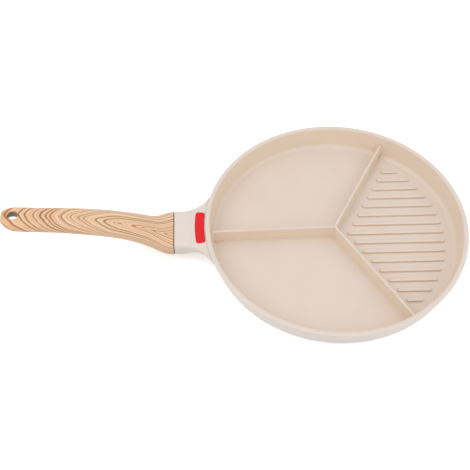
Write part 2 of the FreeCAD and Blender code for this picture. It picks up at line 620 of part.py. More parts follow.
def make_handle_grip():
    """The moulded handle, lofted through its stations, with socket, screw seat and hanging hole."""
    body = new_body("handle_grip")
    sections = []
    for name, *_ in HANDLE_STATIONS:
        sketch = new_sketch(body, name + "Section", "YZ_Plane", "-(%s + Sizes.%sBack)" % (FACE_X, name))
        middle = "(%s + Sizes.%sLift)" % (NECK_MIDDLE, name)
        half = "Sizes.%sThickness / 2" % name
        box_section(sketch, "%s * Sizes.%sShare" % (HALF_NECK, name), "%s - %s" % (middle, half),
                    "%s + %s" % (middle, half), "Sizes.%sRound" % name, "Sizes.%sUnder" % name)
        sections.append(sketch)
    feature(body, "AdditiveLoft", "Grip", Profile=sections[0], Sections=sections[1:])
    socket = new_sketch(body, "SocketSection", "YZ_Plane", "-%s" % FACE_X)
    socket_section(socket)
    feature(body, "Pocket", "Socket", Profile=socket, Length="Sizes.TangLength + Sizes.TangClearance")
    seat = new_sketch(body, "ScrewSeatProfile", "XZ_Plane")
    slope_top = "(%s + Sizes.ScrewHeadHeight)" % SCREW_HEAD_BOTTOM
    reach = "(Sizes.ScrewHeadRadius + Sizes.TangClearance)"
    outline(seat, [
        ("-%s" % SCREW_X, "%s - Sizes.CutReach" % SCREW_HEAD_BOTTOM),
        ("-%s + %s" % (SCREW_X, reach), "%s - Sizes.CutReach" % SCREW_HEAD_BOTTOM),
        ("-%s + %s" % (SCREW_X, reach), SCREW_HEAD_BOTTOM),
        ("-%s + Sizes.ScrewHoleRadius" % SCREW_X, slope_top),
        ("-%s + Sizes.ScrewHoleRadius" % SCREW_X, NECK_MIDDLE),
        ("-%s" % SCREW_X, NECK_MIDDLE),
    ])
    item = feature(body, "Groove", "ScrewSeat", Profile=seat, Angle=360.0)
    item.ReferenceAxis = (seat, ["Edge6"])
    hang = new_sketch(body, "HangPlan", "XY_Plane", "%s + Sizes.TailLift" % NECK_MIDDLE)
    circle_at(hang, "-(%s - Sizes.HangSetback)" % TIP_X, "Sizes.HangRadius")
    hole = feature(body, "Pocket", "HangHole", Profile=hang, Midplane=True, Length="4 * Sizes.TailThickness")
    middle_x, middle_z = -number("%s - Sizes.HangSetback" % TIP_X), number("%s + Sizes.TailLift" % NECK_MIDDLE)
    reach = number("Sizes.HangRadius + Sizes.HangEdge / 4")

    def rounds_hole(edge):
        box = edge.BoundBox
        inside = abs(box.XMin - middle_x) < reach and abs(box.XMax - middle_x) < reach
        return inside and box.YLength > reach

    upper = fillet(body, "HangEdges", hole, "Sizes.HangEdge",
                   lambda e: rounds_hole(e) and e.BoundBox.ZMin > middle_z)
    fillet(body, "HangUnderEdges", upper, "Sizes.HangUnderEdge",
           lambda e: rounds_hole(e) and e.BoundBox.ZMax < middle_z)


def make_handle_screw():
    """A countersunk cross-head screw, pointing up through the handle's wall into the tang."""
    body = new_body("handle_screw")
    profile = new_sketch(body, "ScrewProfile", "XZ_Plane")
    tip = "(%s + Sizes.TangHeight / 2 - Sizes.ScrewTipGap)" % NECK_MIDDLE
    outline(profile, [
        ("-%s" % SCREW_X, SCREW_HEAD_BOTTOM),
        ("-%s + Sizes.ScrewHeadRadius" % SCREW_X, SCREW_HEAD_BOTTOM),
        ("-%s + Sizes.ScrewRadius" % SCREW_X, "%s + Sizes.ScrewHeadHeight" % SCREW_HEAD_BOTTOM),
        ("-%s + Sizes.ScrewRadius" % SCREW_X, tip),
        ("-%s" % SCREW_X, tip),
    ])
    item = feature(body, "Revolution", "Shank", Profile=profile, Angle=360.0)
    item.ReferenceAxis = (profile, ["Edge5"])
    half_width, half_length = "Sizes.CrossWidth / 2", "Sizes.CrossLength / 2"
    for name, dx, dy in (("CrossA", half_length, half_width), ("CrossB", half_width, half_length)):
        plan = new_sketch(body, name + "Plan", "XY_Plane", SCREW_HEAD_BOTTOM)
        outline(plan, [("-%s - %s" % (SCREW_X, dx), "-%s" % dy), ("-%s + %s" % (SCREW_X, dx), "-%s" % dy),
                       ("-%s + %s" % (SCREW_X, dx), dy), ("-%s - %s" % (SCREW_X, dx), dy)])
        feature(body, "Pocket", name, Profile=plan, Length="Sizes.CrossDepth", Reversed=True)


make_pan_body()
make_heat_indicator()
make_handle_gasket()
make_handle_grip()
make_handle_screw()
doc.recompute()

failed = [item.Name for item in doc.Objects if "Invalid" in item.State or "Error" in item.State]
if failed:
    raise SystemExit("failed features: " + ", ".join(failed))
bodies = [item for item in doc.Objects if item.TypeId == "PartDesign::Body"]
for body in bodies:
    shape = body.Shape
    if shape.isNull() or not shape.isValid() or len(shape.Solids) != 1:
        raise SystemExit("bad shape: " + body.Label)
for body in bodies:
    body.Shape.exportStep("parts/%s.step" % body.Label)
    print(body.Label, round(body.Shape.Volume / 1000, 2), "cm3", body.Shape.BoundBox)
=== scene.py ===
import json
import math

import bmesh
import bpy
from mathutils import Matrix, Vector


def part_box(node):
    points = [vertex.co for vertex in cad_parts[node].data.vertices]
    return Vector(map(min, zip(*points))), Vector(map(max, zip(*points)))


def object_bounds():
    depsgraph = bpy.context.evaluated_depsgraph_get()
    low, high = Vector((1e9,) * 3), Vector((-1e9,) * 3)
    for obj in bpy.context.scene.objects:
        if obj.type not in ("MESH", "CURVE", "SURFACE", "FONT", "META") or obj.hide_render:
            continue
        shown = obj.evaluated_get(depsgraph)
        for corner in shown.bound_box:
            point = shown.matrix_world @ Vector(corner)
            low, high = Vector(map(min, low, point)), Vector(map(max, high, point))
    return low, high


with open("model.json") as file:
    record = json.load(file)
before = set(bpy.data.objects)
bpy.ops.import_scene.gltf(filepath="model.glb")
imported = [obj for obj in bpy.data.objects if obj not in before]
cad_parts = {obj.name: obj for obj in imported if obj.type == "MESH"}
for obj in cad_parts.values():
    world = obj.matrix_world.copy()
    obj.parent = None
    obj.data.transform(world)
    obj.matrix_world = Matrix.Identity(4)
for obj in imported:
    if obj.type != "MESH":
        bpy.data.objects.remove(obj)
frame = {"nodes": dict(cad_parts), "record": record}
cad_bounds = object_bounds()

# Lengths in the materials are in millimetres. The part itself is in metres.
MM = 1000.0

# The view. The picture is square, and its lens is given for a sensor 36 mm wide.
LENS = 60.44
SENSOR = 36.0
NEAREST = 0.01
CAMERA_PLACE = Vector((-0.11723, -0.50962, 0.70492))
CAMERA_ELEVATION = math.radians(53.634)
CAMERA_YAW = math.radians(-0.98)
CAMERA_ROLL = math.radians(-1.704)

# The pieces, and places on them.
PAN = frame["nodes"]["pan_body"]
INDICATOR = frame["nodes"]["heat_indicator"]
GASKET = frame["nodes"]["handle_gasket"]
HANDLE = frame["nodes"]["handle_grip"]
SCREW = frame["nodes"]["handle_screw"]
handle_low, handle_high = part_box("handle_grip")
HANDLE_SPAN = (handle_low.x * MM, handle_high.x * MM)
screw_low, screw_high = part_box("handle_screw")
SCREW_X = (screw_low.x + screw_high.x) / 2 * MM
HANG = next(m for m in frame["record"]["mounts"] if m["name"] == "hanging_hole")
HANG_X = HANG["pos_m"][0] * MM
HANG_RADIUS = HANG["dims"]["r_mm"]

# Spans that many masks share.
RISING, FALLING, BOTH_WAYS = (0.0, 1.0), (1.0, 0.0), (-1.0, 1.0)
# Noise keeps to the middle of its range, so this much of it is taken as the whole.
NOISE_SPAN, NOISE_MIDDLE = (0.3, 0.7), 0.5
# The sockets of a mix node that take a share and two colours, and the one that gives a colour.
MIX_SHARE, MIX_FIRST, MIX_SECOND, MIX_RESULT = 0, 6, 7, 2


class Tree:
    """Writes shader nodes and joins them, so that a finish reads as one sum after another."""

    def __init__(self, tree):
        self.tree = tree

    def node(self, kind, **settings):
        made = self.tree.nodes.new(kind)
        for name, value in settings.items():
            setattr(made, name, value)
        return made

    def feed(self, socket, value):
        """Joins an output to the socket, or sets the socket to a plain value."""
        if isinstance(value, bpy.types.NodeSocket):
            self.tree.links.new(value, socket)
        else:
            socket.default_value = value

    def sum(self, operation, *values):
        made = self.node("ShaderNodeMath", operation=operation)
        for socket, value in zip(made.inputs, values):
            self.feed(socket, value)
        return made.outputs[0]

    def add(self, first, second):
        return self.sum("ADD", first, second)

    def less(self, first, second):
        return self.sum("SUBTRACT", first, second)

    def times(self, first, second):
        return self.sum("MULTIPLY", first, second)

    def over(self, first, second):
        return self.sum("DIVIDE", first, second)

    def rest(self, share):
        """What a share leaves of one whole."""
        return self.less(1.0, share)

    def middle(self, first, second):
        return self.times(self.add(first, second), 0.5)

    def wrap(self, value, span):
        """Brings a value that has left the span back in at its other end."""
        return self.sum("WRAP", value, span[1], span[0])

    def length(self, first, second):
        """The length of the slant side over two sides that stand square to each other."""
        return self.sum("SQRT", self.add(self.times(first, first), self.times(second, second)))

    def either(self, *shares):
        """The greatest of several shares."""
        greatest = shares[-1]
        for share in reversed(shares[:-1]):
            greatest = self.sum("MAXIMUM", share, greatest)
        return greatest

    def scale_vector(self, vector, factors):
        made = self.node("ShaderNodeVectorMath", operation="MULTIPLY")
        self.feed(made.inputs[0], vector)
        self.feed(made.inputs[1], factors)
        return made.outputs[0]

    def agreement(self, first, second):
        """How far two directions agree, from -1 to 1."""
        made = self.node("ShaderNodeVectorMath", operation="DOT_PRODUCT")
        self.feed(made.inputs[0], first)
        self.feed(made.inputs[1], second)
        return made.outputs["Value"]

    def parts(self, vector):
        """The three parts of a vector."""
        made = self.node("ShaderNodeSeparateXYZ")
        self.feed(made.inputs[0], vector)
        return made.outputs

    def facing(self):
        """The direction that the surface faces."""
        return self.node("ShaderNodeNewGeometry").outputs["Normal"]

    def remap(self, value, span, onto=RISING):
        """Turns one span of a value into another, level beyond its ends."""
        made = self.node("ShaderNodeMapRange", clamp=True)
        for socket, given in zip(made.inputs, (value, *span, *onto)):
            self.feed(socket, given)
        return made.outputs[0]

    def noise(self, vector, scale, detail):
        made = self.node("ShaderNodeTexNoise")
        self.feed(made.inputs["Vector"], vector)
        self.feed(made.inputs["Scale"], scale)
        self.feed(made.inputs["Detail"], detail)
        return made.outputs["Fac"]

    def line_noise(self, value, scale, detail):
        """Noise that runs along one line only."""
        made = self.node("ShaderNodeTexNoise", noise_dimensions="1D")
        self.feed(made.inputs["W"], value)
        self.feed(made.inputs["Scale"], scale)
        self.feed(made.inputs["Detail"], detail)
        return made.outputs["Fac"]

    def blend(self, share, first, second):
        """Two colours by the share of the second."""
        made = self.node("ShaderNodeMix", data_type="RGBA")
        self.feed(made.inputs[MIX_SHARE], share)
        self.feed(made.inputs[MIX_FIRST], first)
        self.feed(made.inputs[MIX_SECOND], second)
        return made.outputs[MIX_RESULT]

    def curve(self, value, points, span, heights):
        """A smooth curve through (place, height) points, within a span of both."""
        made = self.node("ShaderNodeFloatCurve")
        line = made.mapping.curves[0]
        (start, end), (lowest, highest) = span, heights
        shares = [((place - start) / (end - start), (height - lowest) / (highest - lowest))
                  for place, height in points]
        line.points[0].location = shares[0]
        line.points[1].location = shares[-1]
        for share in shares[1:-1]:
            line.points.new(*share)
        made.mapping.update()
        self.feed(made.inputs["Value"], self.remap(value, span))
        return self.remap(made.outputs[0], RISING, heights)

    def through(self, value, points, span, heights):
        """A curve through the points, level from the first and the last to the two ends."""
        before = [(span[0], points[0][1])] if span[0] < points[0][0] else []
        after = [(span[1], points[-1][1])] if span[1] > points[-1][0] else []
        return self.curve(value, before + list(points) + after, span, heights)

    def ramp(self, value, stops):
        """A ramp of colours that stand for three plain shares each."""
        made = self.node("ShaderNodeValToRGB")
        band = made.color_ramp
        while len(band.elements) > 1:
            band.elements.remove(band.elements[-1])
        band.elements[0].position = stops[0][0]
        for place, _ in stops[1:]:
            band.elements.new(place)
        for element, (_, shares) in zip(band.elements, stops):
            element.color = (*shares, 1.0)
        self.feed(made.inputs[0], value)
        return made.outputs[0]

    def seen(self):
        """One for what the camera looks at, straight or by reflection, and none for plain light."""
        path = self.node("ShaderNodeLightPath").outputs
        return self.either(path["Is Camera Ray"], path["Is Glossy Ray"], path["Is Transmission Ray"])


# Shader groups that more than one finish uses.
FLOAT, VECTOR = "NodeSocketFloat", "NodeSocketVector"
PIMPLE_DETAIL, DRIFT_DETAIL, RING_SCALE, RING_DETAIL = 1.5, 3.0, 1.0, 2.0
# How well the rounded and the true surface still agree where an edge starts to count and
# where it counts in full, and the same for the share of open sky over a hollow.
EDGE_TURN, HOLLOW_SKY = (0.995, 0.9), (0.95, 0.35)
BEVEL_SAMPLES, SKY_SAMPLES = 6, 8


def group(name, inputs, outputs):
    """An empty shader group with the named sockets, its tree, and what goes in and comes out."""
    made = bpy.data.node_groups.new(name, "ShaderNodeTree")
    for label, kind, value in inputs:
        socket = made.interface.new_socket(name=label, in_out="INPUT", socket_type=kind)
        if value is not None:
            socket.default_value = value
    for label, kind in outputs:
        made.interface.new_socket(name=label, in_out="OUTPUT", socket_type=kind)
    tree = Tree(made)
    return made, tree, tree.node("NodeGroupInput").outputs, tree.node("NodeGroupOutput").inputs


def make_skin():
    """The fine unevenness of a sprayed or moulded surface: a slow drift and small pimples."""
    made, tree, given, out = group(
        "surface_skin",
        [("Place", VECTOR, None), ("Pimple Size", FLOAT, 0.8), ("Drift Size", FLOAT, 30.0)],
        [("Drift", FLOAT), ("Pimples", FLOAT)])
    pimples = tree.noise(given["Place"], tree.over(1.0, given["Pimple Size"]), PIMPLE_DETAIL)
    drift = tree.noise(given["Place"], tree.over(1.0, given["Drift Size"]), DRIFT_DETAIL)
    tree.feed(out["Drift"], tree.remap(drift, NOISE_SPAN, BOTH_WAYS))
    tree.feed(out["Pimples"], pimples)
    return made


def make_edges():
    """Where the surface turns sharply outward, and where it lies in a narrow hollow."""
    made, tree, given, out = group(
        "edges_and_hollows",
        [("Reach", FLOAT, 0.6), ("Hollow Reach", FLOAT, 3.0)],
        [("Edge", FLOAT), ("Hollow", FLOAT)])
    rounded = tree.node("ShaderNodeBevel", samples=BEVEL_SAMPLES)
    tree.feed(rounded.inputs["Radius"], tree.over(given["Reach"], MM))
    bend = tree.remap(tree.agreement(rounded.outputs[0], tree.facing()), EDGE_TURN)
    sky = tree.node("ShaderNodeAmbientOcclusion", samples=SKY_SAMPLES)
    tree.feed(sky.inputs["Distance"], tree.over(given["Hollow Reach"], MM))
    # How little open sky a point sees; the finishes paint shade with it.
    hollow = tree.remap(sky.outputs["AO"], HOLLOW_SKY)
    tree.feed(out["Edge"], tree.times(bend, tree.rest(hollow)))
    tree.feed(out["Hollow"], hollow)
    return made


def make_turning():
    """Fine rings of a lathe cut round an upright axis at a given place along the part."""
    made, tree, given, out = group(
        "turned_rings",
        [("Place", VECTOR, None), ("Axis X", FLOAT, 0.0), ("Pitch", FLOAT, 0.4)],
        [("Radius", FLOAT), ("Rings", FLOAT)])
    x, y, _ = tree.parts(given["Place"])
    radius = tree.length(tree.less(x, given["Axis X"]), y)
    tree.feed(out["Radius"], radius)
    turns = tree.over(radius, given["Pitch"])
    tree.feed(out["Rings"], tree.line_noise(turns, RING_SCALE, RING_DETAIL))
    return made


SKIN = make_skin()
EDGES = make_edges()
TURNING = make_turning()


def use(tree, made, **values):
    """Places a group in a material. Underscores stand for the spaces in a socket's name."""
    node = tree.node("ShaderNodeGroup", node_tree=made)
    for name, value in values.items():
        tree.feed(node.inputs[name.replace("_", " ")], value)
    return node.outputs


class Finish(Tree):
    """A material with its surface shader, and the place on the part in millimetres."""

    def __init__(self, name, **plain):
        self.material = bpy.data.materials.new(name)
        self.material.use_nodes = True
        super().__init__(self.material.node_tree)
        self.shader = self.tree.nodes["Principled BSDF"]
        for label, value in plain.items():
            self.shader.inputs[label.replace("_", " ")].default_value = value
        where = self.node("ShaderNodeTexCoord").outputs["Object"]
        self.place = self.scale_vector(where, (MM, MM, MM))
        self.x, self.y, self.z = self.parts(self.place)

    def facing_up(self):
        """How far the surface faces up, from -1 to 1."""
        return self.parts(self.facing())[2]

    def facing_out(self):
        """How far the surface faces away from the pan's upright axis, from -1 to 1."""
        away = self.node("ShaderNodeVectorMath", operation="NORMALIZE")
        self.feed(away.inputs[0], self.scale_vector(self.place, (1.0, 1.0, 0.0)))
        return self.agreement(away.outputs[0], self.facing())

    def stretched(self, factors, scale, detail):
        """Noise drawn out along the part."""
        return self.noise(self.scale_vector(self.place, factors), scale, detail)

    def colour(self, value):
        self.feed(self.shader.inputs["Base Color"], value)

    def metal(self, share):
        self.feed(self.shader.inputs["Metallic"], share)

    def rough(self, value):
        self.feed(self.shader.inputs["Roughness"], value)

    def raise_skin(self, height, depth):
        """Turns heights from 0 to 1 into relief of the given depth in millimetres."""
        bump = self.node("ShaderNodeBump")
        bump.inputs["Strength"].default_value = 1.0
        bump.inputs["Distance"].default_value = depth / MM
        self.feed(bump.inputs["Height"], height)
        self.feed(self.shader.inputs["Normal"], bump.outputs[0])


def tone(red, green, blue):
    """A screen colour from 0 to 255 as the linear colour that a shader takes."""
    def linear(value):
        share = value / 255.0
        return share / 12.92 if share <= 0.04045 else ((share + 0.055) / 1.055) ** 2.4
    return (linear(red), linear(green), linear(blue), 1.0)


def beyond(radius, steps):
    """The span that starts and ends so far outside a radius."""
    return tuple(radius + step for step in steps)


# The coated casting. Each span leads from where its mask starts to where it is full.
# The outer wall faces outward and lies near or beyond the base's reach.
OUTER_FACING, OUTER_FROM_BASE = (0.05, 0.25), (-8.0, -6.0)
# The inside starts just under the sections' floor and ends on top of the rim.
INSIDE_HEIGHT, INSIDE_FROM_RIM = (3.0, 3.2), (-2.6, -2.0)
UPRIGHT_FACING, UPRIGHT_SHARES = (0.9, 0.35), (0.0, 0.65)
# How strongly the edges lighten: partly thinner coat, partly a painted highlight.
EDGE_SHARE = 0.4
# The span and shares of the painted shade in creases.
CREASE_SHADE_SPAN, CREASE_SHADE_SHARES = (0.1, 0.8), (0.3, 0.95)
SPECK_SCALE, SPECK_DETAIL, SPECK_SPAN, SPECK_SHARES = 2.6, 0.0, (0.70, 0.78), (0.0, 0.14)
# The base is cut clean on its flat, up to just inside its rounded foot.
CUT_HEIGHT, CUT_FROM_BASE = (0.03, 0.08), (-2.0, -1.6)
COAT_ROUGH, CUT_ROUGH = (0.36, 0.46), (0.28, 0.42)
COAT_RELIEF, CUT_RELIEF, CASTING_RELIEF = 0.6, 0.8, 0.03
# Corners of the mesh lower than this, in metres, lie on the flat base.
FLAT_BASE = 0.00005
# Each pair of tones is one that drifts into the other.
# The outside and inside tones hold painted light: cooler outside for the neutral light off the
# floor, warmer inside for the light the bowl throws back on itself.
OUTSIDE_TONES = tone(231, 220, 211), tone(229, 217, 207)
INSIDE_TONES = tone(231, 215, 203), tone(229, 212, 199)
# The edge tone is partly thinner coat and partly a painted highlight.
UPRIGHT_TONE, EDGE_TONE = tone(242, 224, 200), tone(240, 229, 219)
# The crease tone is painted shade.
CREASE_SHADE_TONE, SPECK_TONE = tone(186, 167, 140), tone(205, 188, 170)
CUT_TONES = tone(160, 160, 163), tone(196, 196, 198)


def rim_radius():
    """The outer radius of the rim, from the far side, where no neck joins it."""
    return max(v.co.x for v in PAN.data.vertices) * MM


def base_radius():
    """How far the flat base reaches, from the casting's own corners."""
    flat = [v.co for v in PAN.data.vertices if v.co.z < FLAT_BASE]
    return max(math.hypot(v.x, v.y) for v in flat) * MM


def coat_tones(finish, drift, radius):
    """Coat colour: painted light inside and out, thin coat and painted highlight at edges, painted
    shade in creases.
    """
    # Painted light: a cooler tone outside and a warmer tone inside the bowl.
    outside = finish.blend(drift, *OUTSIDE_TONES)
    inside = finish.blend(drift, *INSIDE_TONES)
    outward = finish.times(finish.remap(finish.facing_out(), OUTER_FACING),
                           finish.remap(radius, beyond(base_radius(), OUTER_FROM_BASE)))
    bowl = finish.times(finish.remap(finish.z, INSIDE_HEIGHT),
                        finish.remap(radius, beyond(rim_radius(), INSIDE_FROM_RIM), FALLING))
    within = finish.times(finish.rest(outward), bowl)
    coat = finish.blend(within, outside, inside)
    # The upright faces inside catch warm light from each other.
    steep = finish.sum("ABSOLUTE", finish.facing_up())
    upright = finish.times(finish.remap(steep, UPRIGHT_FACING, UPRIGHT_SHARES), within)
    coat = finish.blend(upright, coat, UPRIGHT_TONE)
    edges = use(finish, EDGES, Reach=0.9, Hollow_Reach=3.2)
    # Lighter edges: partly thinner coat, partly a painted highlight.
    coat = finish.blend(finish.times(edges["Edge"], EDGE_SHARE), coat, EDGE_TONE)
    # Painted shade in creases and narrow hollows, darkest where least sky is open.
    crease_shade = finish.times(edges["Hollow"],
                          finish.remap(edges["Hollow"], CREASE_SHADE_SPAN, CREASE_SHADE_SHARES))
    coat = finish.blend(crease_shade, coat, CREASE_SHADE_TONE)
    specks = finish.noise(finish.place, SPECK_SCALE, SPECK_DETAIL)
    return finish.blend(finish.remap(specks, SPECK_SPAN, SPECK_SHARES), coat, SPECK_TONE)


def coated_casting():
    """A warm ceramic coat, with painted light making it warmer inside the bowl and cooler outside,
    and bare metal on the turned base.
    """
    finish = Finish("coated_casting", Coat_Weight=0.12, Coat_Roughness=0.22, IOR=1.5)
    skin = use(finish, SKIN, Place=finish.place, Pimple_Size=0.9, Drift_Size=34.0)
    turned = use(finish, TURNING, Place=finish.place, Axis_X=0.0, Pitch=0.35)
    coat = coat_tones(finish, finish.remap(skin["Drift"], BOTH_WAYS), turned["Radius"])
    metal = finish.blend(turned["Rings"], *CUT_TONES)
    flat = finish.remap(turned["Radius"], beyond(base_radius(), CUT_FROM_BASE), FALLING)
    cut = finish.times(finish.remap(finish.z, CUT_HEIGHT, FALLING), flat)
    finish.colour(finish.blend(cut, coat, metal))
    finish.metal(cut)
    satin = finish.remap(skin["Pimples"], RISING, COAT_ROUGH)
    lathed = finish.remap(turned["Rings"], NOISE_SPAN, CUT_ROUGH)
    finish.rough(finish.add(finish.times(cut, lathed), finish.times(finish.rest(cut), satin)))
    pimples = finish.times(skin["Pimples"], COAT_RELIEF)
    rings = finish.times(finish.times(turned["Rings"], cut), CUT_RELIEF)
    finish.raise_skin(finish.add(pimples, rings), CASTING_RELIEF)
    return finish.material


# The growth rings of the printed grain: how far along the handle the tip of the ring's arch
# is, its width, its darkness, and how much of it is orange.
RINGS = (
    (-372.0, 1.4, 0.70, 0.3), (-358.0, 1.8, 0.80, 0.4),
    (-345.4, 3.0, 1.00, 1.0), (-331.3, 1.6, 1.00, 0.2), (-325.2, 1.4, 0.95, 0.2),
    (-320.2, 0.8, 0.30, 0.2), (-317.1, 1.4, 0.75, 0.3), (-313.2, 0.7, 0.25, 0.3),
    (-309.9, 2.0, 1.00, 0.3), (-303.9, 1.8, 0.90, 0.7), (-299.7, 1.7, 1.00, 0.9),
    (-296.4, 0.7, 0.35, 0.3), (-290.4, 1.0, 0.50, 0.2), (-288.0, 1.5, 0.90, 0.5),
    (-282.2, 0.8, 0.35, 0.2), (-278.9, 1.2, 0.70, 0.3), (-274.8, 0.8, 0.40, 0.4),
    (-270.9, 1.9, 0.70, 0.5), (-266.2, 1.2, 0.85, 0.2), (-262.6, 0.8, 0.30, 0.3),
    (-257.8, 0.9, 0.35, 0.2), (-253.5, 1.8, 1.00, 0.2), (-249.4, 0.7, 0.25, 0.3),
    (-244.4, 1.8, 1.00, 0.2), (-239.4, 0.8, 0.35, 0.3), (-235.0, 1.0, 0.50, 0.2),
    (-228.0, 1.4, 0.50, 0.2), (-222.0, 1.0, 0.30, 0.4), (-215.0, 5.0, 1.00, 0.9),
    (-205.5, 1.6, 0.60, 0.3), (-199.5, 1.0, 0.35, 0.3), (-194.8, 2.6, 0.85, 0.4),
    (-188.5, 1.0, 0.40, 0.3), (-182.8, 3.2, 0.95, 0.8), (-177.0, 1.0, 0.50, 0.3))
RING_SPAN = (-378.0, -174.0)
# A ring across its width: the place in widths from its middle, the share of its darkness
# there, and the age of the growth, which runs from 0 behind one ring to 1 before the next.
RING_FORM = ((-1.1, 0.0, 1.0), (-0.3, 1.0, 1.0), (0.35, 1.0, 0.0), (0.7, 0.0, 0.0))
# What a ramp holds before its first ring: no darkness, no orange, and half the age.
HALF_GROWN = (0.0, 0.0, 0.5)
# Rings on one ramp, which can't hold many stops.
RINGS_PER_RAMP = 7
# Where the arms crowd together only the stronger rings show, and they show broader.
STRONG, BROADER, GAP_SHARE, FAINTER = 0.5, 1.9, 0.4, 0.82
CROWDED = (1.2, 3.4)
# Where along the handle the arches' tips lie, as degrees round it from its crown.
TIP_TURN = ((-331.0, 4.0), (-325.0, 2.4), (-310.0, -1.4), (-299.0, -3.9), (-288.0, -7.3),
            (-279.0, -9.2), (-266.0, -12.8), (-253.0, -16.6), (-244.0, -19.3),
            (-215.0, -22.0), (-195.0, -19.0))
# How far along the handle an arch's arm runs for each degree round it.
ARM_RUN = ((-330.0, 0.24), (-305.0, 0.27), (-290.0, 0.30), (-282.0, 0.335), (-275.0, 0.40),
           (-268.0, 0.455), (-256.0, 0.53), (-243.0, 0.59), (-235.0, 0.68), (-226.0, 0.85),
           (-216.0, 1.04), (-205.0, 1.26), (-198.0, 1.40), (-185.0, 1.70))
# Round the belly the arms ease off, so that they meet in a round turn.
BELLY_TURN = ((0.0, 0.0), (105.0, 105.0), (135.0, 131.0), (160.0, 143.0), (180.0, 146.0))
# How broadly each arch is rounded at its tip, in millimetres.
TIP_ROUND = ((-230.0, 4.0), (-214.0, 2.4))
DEGREES_IN_RADIAN = math.degrees(1.0)
# The lowest and highest value that each curve along or round the handle can take.
HANDLE_HEIGHTS, HANDLE_HALVES, TIP_TURNS = (0.0, 70.0), (0.0, 30.0), (-30.0, 10.0)
ARM_RUNS, TIP_ROUNDS = (0.0, 2.0), (0.0, 5.0)
HALF_TURN, WHOLE_TURN = (0.0, 180.0), (-180.0, 180.0)
PROFILE_STEP = 8.0
# The grain wanders slowly and far, and quickly and little.
WANDER_STRETCH, WANDER_DETAIL = (0.4, 1.0, 1.0), 1.0
SLOW_SCALE, SLOW_REACH, QUICK_SCALE, QUICK_REACH = 0.10, 4.0, 0.45, 1.3
# Fine hairlines between the rings, sparser where the arms crowd together.
HAIR_SCALE, HAIR_DETAIL, CROWDED_HAIR_SCALE, CROWDED_HAIR_DETAIL = 0.62, 3.0, 0.20, 2.0
HAIR_SPAN, HAIR_SHARES = (0.54, 0.66), (0.0, 0.42)
# Fibres and pores: stretch along the handle, scale and detail, then span and shares.
FIBRE_NOISE, FIBRE_SPAN, FIBRE_SHARES = ((0.12, 1.6, 1.6), 1.3, 2.0), (0.38, 0.7), (0.0, 0.6)
PORE_NOISE, PORE_SPAN, PORE_SHARES = ((0.4, 1.4, 1.4), 1.9, 1.0), (0.58, 0.70), (0.0, 0.4)
UNEVEN_SPAN, UNEVEN_SHARES = (0.3, 0.6), (0.8, 1.0)
# The tail is more honey-coloured than the rest.
HONEY_SPAN, HONEY_SHARES = (-335.0, -275.0), (0.5, 0.0)
# The growth between two rings goes from the first tone to the second.
GROWTH_TONES = tone(253, 218, 183), tone(242, 199, 158)
HONEY, STRAW = tone(236, 184, 128), tone(232, 202, 172)
PORE_BROWN, HAIR_BROWN = tone(190, 144, 104), tone(186, 134, 88)
LINE_BROWN, RUST = tone(128, 84, 50), tone(180, 108, 50)
# The hole's wall: bare plastic, darkened further by painted shade.
HOLE_BROWN_AND_SHADE = tone(126, 111, 98)
# Small dark flecks on the line of the tips: place, half length and half breadth.
FLECKS = ((-290.6, 1.0, 0.9), (-229.5, 2.6, 0.8))
FLECK_SPAN, FLECK_SHARES = (0.3, 1.2), (0.7, 0.0)
PRINT_FROM_HOLE = (0.15, 0.45)
WOOD_ROUGH, WOOD_PIMPLES, RING_SUNK, WOOD_RELIEF = (0.42, 0.52), 0.5, 0.6, 0.03


def handle_profile():
    """Crown, belly and half width of the handle along its length, read from its corners."""
    low, high = HANDLE_SPAN
    count = round((high - low) / PROFILE_STEP)
    points = [v.co * MM for v in HANDLE.data.vertices]
    crown, belly, half = [], [], []
    for index in range(count + 1):
        middle = low + (high - low) * index / count
        near = [p for p in points if abs(p.x - middle) < PROFILE_STEP / 2]
        crown.append((middle, max(p.z for p in near)))
        belly.append((middle, min(p.z for p in near)))
        half.append((middle, max(abs(p.y) for p in near)))
    return crown, belly, half


def broad_rings():
    """The stronger rings, broadened as far as their neighbours leave room."""
    strong = [ring for ring in RINGS if ring[2] >= STRONG]
    broad = []
    for index, (place, width, darkness, orange) in enumerate(strong):
        near = [abs(place - other[0]) for other in strong[max(index - 1, 0):index + 2]
                if other[0] != place]
        broad.append((place, min(width * BROADER, min(near) * GAP_SHARE),
                      darkness * FAINTER, orange))
    return broad


def grain_ramp(finish, along, rings, span):
    """Darkness, orange share and age of the growth, for places between two ends."""
    low, high = span
    stops = [(0.0, HALF_GROWN)]
    for place, width, darkness, orange in rings:
        for offset, share, age in RING_FORM:
            stops.append(((place + offset * width - low) / (high - low),
                          (share * darkness, orange, age)))
    return finish.ramp(finish.remap(along, span), stops)


def growth(finish, along, rings):
    """The same three shares for the whole handle, from one ramp after another."""
    low, parts = RING_SPAN[0], None
    for first in range(0, len(rings), RINGS_PER_RAMP):
        some = rings[first:first + RINGS_PER_RAMP]
        after = rings[first + RINGS_PER_RAMP:first + RINGS_PER_RAMP + 1]
        high = (some[-1][0] + after[0][0]) / 2 if after else RING_SPAN[1]
        here = grain_ramp(finish, along, some, (low, high))
        reached = finish.sum("GREATER_THAN", along, low)
        parts = here if parts is None else finish.blend(reached, parts, here)
        low = high
    return parts


